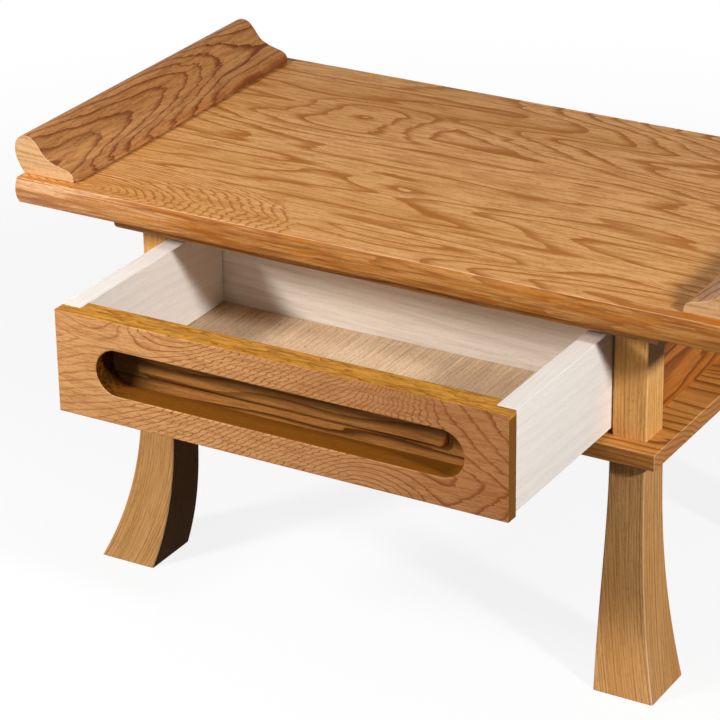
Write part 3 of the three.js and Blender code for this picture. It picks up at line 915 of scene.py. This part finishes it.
def rounded_ring(low_x, high_x, low_y, high_y, radius, z):
    """A rectangle with round corners at one height, turning left."""
    centres = [
        (high_x - radius, low_y + radius, -90),
        (high_x - radius, high_y - radius, 0),
        (low_x + radius, high_y - radius, 90),
        (low_x + radius, low_y + radius, 180),
    ]
    points = []
    for x, y, start in centres:
        for step in range(CORNER_STEPS + 1):
            angle = math.radians(start + 90 * step / CORNER_STEPS)
            points.append(Vector((x + radius * math.cos(angle), y + radius * math.sin(angle), z)))
    return points


print(f"a ring has {4 * (CORNER_STEPS + 1)} points")

# %% Moulding of the top board
BULGE = 0.002
UNDERSIDE_OUTSET = BULGE * 0.15
BEVEL_OUTSET, BEVEL_HEIGHT = BULGE * 0.3, 0.0004
SWELL_OUTSET = BULGE * 1.25
SWELL_STARTS, SWELL_ENDS = 0.3, 0.62
FACE_OUTSET = BULGE * 0.55
SWELL_POINTS = 14
TOP_ARRIS = 0.0009
ARRIS_STEPS = 3


def top_moulding(thickness):
    """Outset and height of the top board's edge, from its underside to its face."""
    swell = interpolate_bezier(
        Vector((BEVEL_OUTSET, BEVEL_HEIGHT, 0)),
        Vector((SWELL_OUTSET, thickness * SWELL_STARTS, 0)),
        Vector((SWELL_OUTSET, thickness * SWELL_ENDS, 0)),
        Vector((FACE_OUTSET, thickness - TOP_ARRIS, 0)),
        SWELL_POINTS,
    )
    widest = max(point.x for point in swell)
    edge = [(UNDERSIDE_OUTSET, 0)] + [(point.x * BULGE / widest, point.y) for point in swell]
    arris = edge[-1][0]
    for step in range(1, ARRIS_STEPS + 1):
        turn = math.radians(90 * step / ARRIS_STEPS)
        edge.append((
            arris - TOP_ARRIS * (1 - math.cos(turn)),
            thickness - TOP_ARRIS * (1 - math.sin(turn)),
        ))
    return edge


print(f"the moulding bulges by {BULGE * 1000} mm")

# %% Top board
CORNER_RADIUS = 0.0012


def top_board():
    """The moulding, carried round the board."""
    low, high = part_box("top_board")
    low_x, high_x, low_y, high_y = low.x + BULGE, high.x - BULGE, low.y + BULGE, high.y - BULGE
    rings = []
    for outset, height in top_moulding(high.z - low.z):
        rings.append(rounded_ring(
            low_x - outset, high_x + outset, low_y - outset, high_y + outset,
            CORNER_RADIUS, low.z + height,
        ))
    return stack(rings)


stand_for("top_board", top_board(), top_wood)

# %% [markdown]
# ## The scroll ends
#
# A scroll end is one length of timber run to a profile: a thin nose, a long hollow, a rolled head and a
# tucked foot. Six curves draw it, in shares of its width and height, and the end edges are eased.

# %% Profile of a scroll end
SCROLL_HEAD = 1.178
SCROLL_NOSE = 0.106
CURVE_POINTS = 9


def scroll_profile():
    """The profile in shares of its foot's width and of its height."""
    head, nose = SCROLL_HEAD, SCROLL_NOSE
    curves = [
        [(0.008, nose), (0.015, nose + 0.12), (0.08, 0.28), (0.2, 0.315)],
        [(0.2, 0.315), (0.34, 0.37), (0.5, 0.42), (0.59, 0.56)],
        [(0.59, 0.56), (0.67, 0.69), (0.73, 0.87), (0.83, 0.955)],
        [(0.83, 0.955), (0.93, 1.03), (1.08, 1), (head - 0.03, 0.82)],
        [(head - 0.03, 0.82), (head + 0.015, 0.7), (head + 0.01, 0.52), (head - 0.03, 0.36)],
        [(head - 0.03, 0.36), (head - 0.07, 0.22), (1.05, 0.1), (1, 0)],
    ]
    shares = [Vector((0, 0, 0)), Vector((0.008, nose, 0))]
    for curve in curves:
        handles = [Vector((across, up, 0)) for across, up in curve]
        shares += interpolate_bezier(*handles, CURVE_POINTS)[1:]
    return shares


print(f"the profile has {len(scroll_profile())} points")

# %% Scroll ends
SCROLL_EASE = 0.0007


def scroll_end(node, side):
    """The profile, carried along the scroll end. Side is -1 for the left one and 1 for the right one."""
    low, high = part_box(node)
    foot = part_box("top_board")[1].z
    shares = scroll_profile()
    widest = max(share.x for share in shares)
    highest = max(share.y for share in shares)
    inner = low.x if side > 0 else high.x
    outline = [
        (
            inner + side * (high.x - low.x) * share.x / widest,
            foot + (high.z - foot) * share.y / highest,
        )
        for share in shares
    ]
    shape = stack([[Vector((x, y, z)) for x, z in outline] for y in (low.y, high.y)])

    def at_an_end(edge):
        return lies_at(edge, 1, low.y) or lies_at(edge, 1, high.y)

    return ease(shape, SCROLL_EASE, chosen=at_an_end)


for node, side in (("scroll_end_left", -1), ("scroll_end_right", 1)):
    stand_for(node, scroll_end(node, side), scroll_wood)

# %% [markdown]
# ## The case
#
# Two boards close the drawer case from below and above. The upper one has a rounded lower edge that
# catches hardly any light. Four square posts stand between them with lightly rounded edges.

# %% Case boards
BOARD_EASE = 0.001
UPPER_ROUND = 0.0035


def shelf_board():
    """A block, eased all round."""
    return ease(block(*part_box("shelf_board")), BOARD_EASE)


def upper_board():
    """A block with a rounded lower edge."""
    low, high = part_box("upper_board")

    def underneath(edge):
        return lies_at(edge, 2, low.z)

    return ease(block(low, high), UPPER_ROUND, segments=6, chosen=underneath)


stand_for("shelf_board", shelf_board(), shelf_wood)
stand_for("upper_board", upper_board(), upper_wood)

# %% [markdown]
# The posts reach up to the upper board. Their tenons go on inside it and don't show, so the rebuilt
# posts end where the board begins. The panels between them are right as solids.

# %% Posts and panels
POST_EASE = 0.0013


def post(node):
    """A square post with rounded upright edges."""
    low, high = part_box(node)
    high.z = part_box("upper_board")[0].z

    def upright(edge):
        first, second = edge.verts
        return (first.co.xy - second.co.xy).length < HAIR

    return ease(block(low, high), POST_EASE, segments=4, chosen=upright)


CORNERS = [(across, along) for across in ("front", "back") for along in ("left", "right")]
for across, along in CORNERS:
    node = f"post_{across}_{along}"
    stand_for(node, post(node), post_wood)
for node in ("side_panel_left", "side_panel_right"):
    coat(node, panel_wood)
coat("back_panel", shelf_wood)

# %% [markdown]
# ## The legs
#
# A leg starts as a small rectangle under the shelf and sweeps out to the side and to the front, while it
# grows. Its outer faces follow a cube of the depth, its size a square. The rings of a stack follow that
# law, close enough together that the sweep is smooth.

# %% Legs
LEG_TOP_WIDTH = 0.026
LEG_TOP_DEPTH = 0.029
LEG_GROWTH = 0.018
LEG_RINGS = 40
LEG_EASE = 0.0013
FOOT_EASE = 0.0006


def leg(node):
    """Rings from the foot up to the shelf, each moved in by the sweep."""
    low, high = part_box(node)
    side = 1 if low.x > 0 else -1
    front = 1 if low.y > DESK_CENTRE_Y else -1
    foot_x = max(abs(low.x), abs(high.x))
    foot_y = max(abs(low.y - DESK_CENTRE_Y), abs(high.y - DESK_CENTRE_Y))
    rings = []
    for step in range(LEG_RINGS + 1):
        below = 1 - step / LEG_RINGS
        sweep = below ** 3 - 1
        growth = LEG_GROWTH * below ** 2
        outer_x = foot_x + LEG_SWEEP_SIDE * sweep
        outer_y = foot_y + LEG_SWEEP_FRONT * sweep
        xs = sorted((side * outer_x, side * (outer_x - LEG_TOP_WIDTH - growth)))
        ys = sorted((front * outer_y, front * (outer_y - LEG_TOP_DEPTH - growth)))
        rings.append(rounded_ring(
            *xs, ys[0] + DESK_CENTRE_Y, ys[1] + DESK_CENTRE_Y, LEG_EASE, LEG_HEIGHT * (1 - below),
        ))

    def around_the_foot(edge):
        return lies_at(edge, 2, 0)

    return ease(stack(rings), FOOT_EASE, segments=2, chosen=around_the_foot)


for across, along in CORNERS:
    node = f"leg_{across}_{along}"
    stand_for(node, leg(node), leg_wood)

# %% [markdown]
# ## The drawer
#
# The drawer front is a thick board with a long slot for the fingers, and rabbets at its ends that take
# the drawer sides. A board closes the slot from behind, and a pull bar with a soft face runs along its
# upper part. The box behind it is pale: two sides, a back, and a thin bottom let into grooves.

# %% Outline of the slot
SLOT_HEIGHT = 0.0324
SLOT_END_STEPS = 24


def slot_ring(centre_x, centre_z, half_length, y):
    """The slot's outline at one depth, with round ends."""
    radius = SLOT_HEIGHT / 2
    points = []
    for side, start in ((1, -90), (-1, 90)):
        for step in range(SLOT_END_STEPS + 1):
            angle = math.radians(start + 180 * step / SLOT_END_STEPS)
            x = centre_x + side * (half_length - radius) + radius * math.cos(angle)
            points.append(Vector((x, y, centre_z + radius * math.sin(angle))))
    return points


print(f"the slot is {SLOT_HEIGHT * 1000:.1f} mm high")

# %% Drawer front
SLOT_END_WOOD = 0.0315
SLOT_EASE = 0.0012
FACE_EASE = 0.0006
RABBET_DEPTH = 0.01
SIDE_THICKNESS = 0.0145
PLAY = 0.00015
OVERRUN = 0.002


def drawer_front():
    """An eased block with the slot, whose mouth is rounded, and a rabbet at each end."""
    low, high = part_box("drawer_front")
    centre_x, centre_z = (low.x + high.x) / 2, (low.z + high.z) / 2
    half_length = (high.x - low.x) / 2 - SLOT_END_WOOD
    shape = ease(block(low, high), FACE_EASE)
    depths = (low.y - OVERRUN, high.y + OVERRUN)
    shape = carve(shape, stack([slot_ring(centre_x, centre_z, half_length, y) for y in depths]))

    def slot_mouth(edge):
        inside = all(
            abs(corner.co.x - centre_x) < half_length + HAIR
            and abs(corner.co.z - centre_z) < SLOT_HEIGHT / 2 + HAIR
            for corner in edge.verts
        )
        return inside and lies_at(edge, 1, low.y)

    shape = ease(shape, SLOT_EASE, segments=4, chosen=slot_mouth)
    reach = SIDE_THICKNESS + PLAY
    for near, far in ((low.x - OVERRUN, low.x + reach), (high.x - reach, high.x + OVERRUN)):
        rabbet = block(
            (near, high.y - RABBET_DEPTH, low.z - OVERRUN),
            (far, high.y + OVERRUN, high.z + OVERRUN),
        )
        shape = carve(shape, rabbet)
    return shape


stand_for("drawer_front", drawer_front(), face_wood)

# %% [markdown]
# The groove that holds the bottom shows from above as a thin dark line, so the sides get a real one. A
# housing in their ends takes the drawer back and leaves the same kind of line.

# %% Drawer box
SIDE_EASE = 0.0007
GROOVE_DEPTH = 0.005
LINE = 0.0009


def drawer_side(node):
    """A side with its groove and its housing, both open to the middle of the drawer."""
    low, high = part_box(node)
    inwards = 1 if low.x < 0 else -1
    inner = high.x if inwards > 0 else low.x
    floor_low, floor_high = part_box("drawer_bottom")
    back_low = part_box("drawer_back")[0]
    shape = ease(block(low, high), SIDE_EASE)
    xs = sorted((inner + inwards * OVERRUN, inner - inwards * (GROOVE_DEPTH + PLAY)))
    groove = block(
        (xs[0], low.y - OVERRUN, floor_low.z - PLAY),
        (xs[1], high.y + OVERRUN, floor_high.z + LINE),
    )
    housing = block(
        (xs[0], back_low.y - LINE, back_low.z),
        (xs[1], high.y + OVERRUN, high.z + OVERRUN),
    )
    return carve(carve(shape, groove), housing)


for node in ("drawer_side_left", "drawer_side_right"):
    stand_for(node, drawer_side(node), pale_wood)
stand_for("drawer_back", ease(block(*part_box("drawer_back")), SIDE_EASE), pale_back_wood)
coat("drawer_bottom", floor_wood)
coat("pull_backing", pull_wood)

# %% [markdown]
# The pull bar runs from one end of the slot to the other. Its lower corners are cut round, so that no
# finger meets a sharp one, and the edge of its face is rounded all the way.

# %% Pull bar
BAR_ROUND = 0.0026
BAR_CORNER = 0.006
BAR_CORNER_STEPS = 8


def finger_bar():
    """An outline with two round lower corners, carried from the face to the back."""
    low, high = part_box("finger_bar")
    points = [(low.x, high.z), (low.x, low.z + BAR_CORNER)]
    for step in range(1, BAR_CORNER_STEPS + 1):
        turn = math.radians(90 * step / BAR_CORNER_STEPS)
        points.append((
            low.x + BAR_CORNER * (1 - math.cos(turn)),
            low.z + BAR_CORNER * (1 - math.sin(turn)),
        ))
    mirrored = [(low.x + high.x - x, z) for x, z in reversed(points)]
    rings = [[Vector((x, y, z)) for x, z in points + mirrored] for y in (low.y, high.y)]

    def on_the_face(edge):
        return lies_at(edge, 1, low.y)

    return ease(stack(rings), BAR_ROUND, segments=6, chosen=on_the_face)


stand_for("finger_bar", finger_bar(), pull_wood)

# %% [markdown]
# ## Hidden pieces
#
# Runners, stops and screws are right as they are. They only need their wood and their steel.

# %% Runners, stops and screws
for side in ("left", "right"):
    coat("drawer_runner_" + side, pale_wood)
    coat("drawer_stop_" + side, pale_wood)
for across, along in CORNERS:
    coat(f"top_screw_{across}_{along}", screw_steel)
    coat(f"scroll_screw_{across}_{along}", screw_steel)

# %% [markdown]
# ## Floor and surroundings
#
# The desk stands on a pale studio floor in white surroundings. White all round would light every nook of
# the desk, so a light path tells which ray asks: the camera and the reflections see white, and all other
# rays find hardly any light.

# %% Surroundings
WHITE = (1, 1, 1, 1)
SURROUND_LIGHT = 0.09


def seen_directly(finish):
    """1 for a ray that the camera or a reflection sends, which shows the background white."""
    path = finish.node("ShaderNodeLightPath").outputs
    kinds = ("Is Camera Ray", "Is Glossy Ray", "Is Transmission Ray")
    camera_ray, glossy_ray, clear_ray = (Number(finish, path[kind]) for kind in kinds)
    return finish.maths("MAXIMUM", finish.maths("MAXIMUM", camera_ray, glossy_ray), clear_ray)


class Surroundings(Finish):
    """The world as a finish: the same node method on the world's own tree."""

    def __init__(self, world):
        world.use_nodes = True
        self.tree = world.node_tree
        self.tree.nodes.clear()


world = bpy.data.worlds.new("studio")
scene.world = world
studio = Surroundings(world)
strength = seen_directly(studio) * (1 - SURROUND_LIGHT) + SURROUND_LIGHT
sky = studio.node("ShaderNodeBackground", {}, {"Color": WHITE, "Strength": strength})
studio.node("ShaderNodeOutputWorld", {}, {"Surface": sky.outputs[0]})
print(f"the surroundings light the desk with {SURROUND_LIGHT} of white")

# %% [markdown]
# The floor glows nearly white by itself, so that only a faint shadow is left on it, and further away it
# melts into the surroundings. For the light that it would throw back at the desk it counts as dark.

# %% Floor
FLOOR_SIZE = 12.0
FLOOR_TONE = (0.85, 0.85, 0.85, 1)
FLOOR_BOUNCE = (0.04, 0.04, 0.04, 1)
NEAR_GLOW = 0.86
MELTS_BETWEEN = (0.45, 1.3)

floor_shape = bmesh.new()
bmesh.ops.create_grid(floor_shape, x_segments=1, y_segments=1, size=FLOOR_SIZE / 2)
floor = as_object("floor", floor_shape)

pale_floor = Finish("pale_floor", None, Roughness=0.9)
pale_floor.shader.inputs["Specular IOR Level"].default_value = 0
direct = seen_directly(pale_floor)
tone = pale_floor.blend(direct, FLOOR_BOUNCE, FLOOR_TONE)
pale_floor.feed(pale_floor.shader.inputs["Base Color"], tone)
glow = pale_floor.node("ShaderNodeEmission", {}, {"Color": WHITE, "Strength": 1.0})
place = pale_floor.node("ShaderNodeTexCoord").outputs["Object"]
away = pale_floor.number("ShaderNodeVectorMath", {"operation": "LENGTH"}, {0: place}, "Value")
melt = NEAR_GLOW + pale_floor.step(away, *MELTS_BETWEEN) * (1 - NEAR_GLOW)
mix = pale_floor.node("ShaderNodeMixShader", {}, {0: direct * melt})
pale_floor.feed(mix.inputs[1], pale_floor.shader.outputs[0])
pale_floor.feed(mix.inputs[2], glow.outputs[0])
pale_floor.feed(pale_floor.tree.nodes["Material Output"].inputs["Surface"], mix.outputs[0])
floor.data.materials.append(pale_floor.material)
print(f"the floor is {FLOOR_SIZE} m wide and melts away within {MELTS_BETWEEN[1]} m")

# %% [markdown]
# ## Lamps
#
# Two soft boxes light the desk, one from the front left and one from the right, both low enough to reach
# under the overhang of the top. Their directions follow from the shadows: the edge of the top throws one
# across the drawer's left side, and the left side throws one across the drawer's back. A weak third one
# in front, near the floor, opens the shade behind the drawer, and a fourth one does the same for the back
# of the desk, so low that its light stays off the top.

# %% Soft boxes
AIM = Vector((0, -0.06, 0.2))


def soft_box(name, towards, distance, size, power):
    """A square lamp that looks at the desk from the direction towards."""
    data = bpy.data.lights.new(name, "AREA")
    data.shape = "SQUARE"
    data.size = size
    data.energy = power
    lamp = bpy.data.objects.new(name, data)
    direction = Vector(towards).normalized()
    lamp.location = AIM + direction * distance
    lamp.rotation_mode = "QUATERNION"
    lamp.rotation_quaternion = direction.to_track_quat("Z", "Y")
    scene.collection.objects.link(lamp)
    print(f"{name}: {power} W from {distance} m")


soft_box("front_left_box", (-1.15, -1.25, 1.0), distance=1.05, size=0.17, power=10.6)
soft_box("right_box", (2.05, -0.66, 1.0), distance=1.5, size=0.12, power=18.4)
soft_box("low_front_box", (0.0, -1.0, 0.22), distance=1.6, size=0.5, power=3.6)
soft_box("low_back_box", (-0.35, 1.0, -0.02), distance=1.9, size=0.25, power=7.0)

# %% [markdown]
# ## Camera
#
# The camera looks down at the desk from the front right. Its place and lens were worked out from the
# straight edges in the picture, and so was its slight roll. Angles are in degrees and the lens and the
# sensor in millimetres, as on a real camera.

# %% Camera
CAMERA_PLACE = Vector((0.9629, -1.7334, 1.0853))
CAMERA_TILT = 65.136
CAMERA_TURN = 30.450
CAMERA_ROLL = -0.859
CAMERA_LENS = 157.05
SENSOR_WIDTH = 36
FARTHEST_SEEN = 50

camera_data = bpy.data.cameras.new("camera")
camera_data.sensor_width = SENSOR_WIDTH
camera_data.lens = CAMERA_LENS
camera_data.clip_end = FARTHEST_SEEN
camera = bpy.data.objects.new("camera", camera_data)
camera.location = CAMERA_PLACE
camera.rotation_mode = "QUATERNION"
turn = Quaternion((0, 0, 1), math.radians(CAMERA_TURN))
tilt = Quaternion((1, 0, 0), math.radians(CAMERA_TILT))
roll = Quaternion((0, 0, 1), math.radians(CAMERA_ROLL))
camera.rotation_quaternion = turn @ tilt @ roll
scene.collection.objects.link(camera)
scene.camera = camera
scene.view_settings.view_transform = "Standard"
print(f"the camera stands {(CAMERA_PLACE - AIM).length:.2f} m from the desk")
